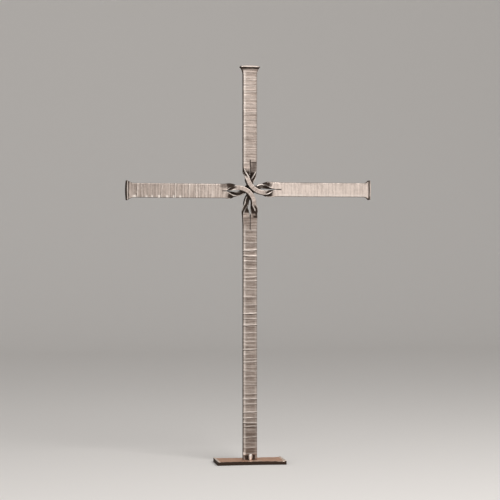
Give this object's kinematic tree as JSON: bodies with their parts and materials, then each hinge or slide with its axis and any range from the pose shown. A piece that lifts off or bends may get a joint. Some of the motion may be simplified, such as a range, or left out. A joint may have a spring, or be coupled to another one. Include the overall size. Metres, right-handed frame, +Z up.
{
  "type": "grave cross",
  "caption": "Slim forged grave cross of flat bar whose arms are split and interlaced in an open knot, with flared ends, on a small flat foot plate with a domed pin.",
  "frame": {"origin": "centre of the underside of the foot plate, below the shaft", "axes": "+Z up along the shaft, +X along the cross arms to the right of a viewer facing the front, -Y out of the front"},
  "size_m": [0.441, 0.073, 0.6982],
  "materials": {
    "forged_steel": "hammered, brushed, dark in the recesses",
    "plate_steel": "hammered, darker brown",
    "pin_steel": "satin"
  },
  "bodies": {
    "root": {"forged_cross": "forged_steel", "foot_plate": "plate_steel", "fixing_pin": "pin_steel"}
  },
  "joints": []
}
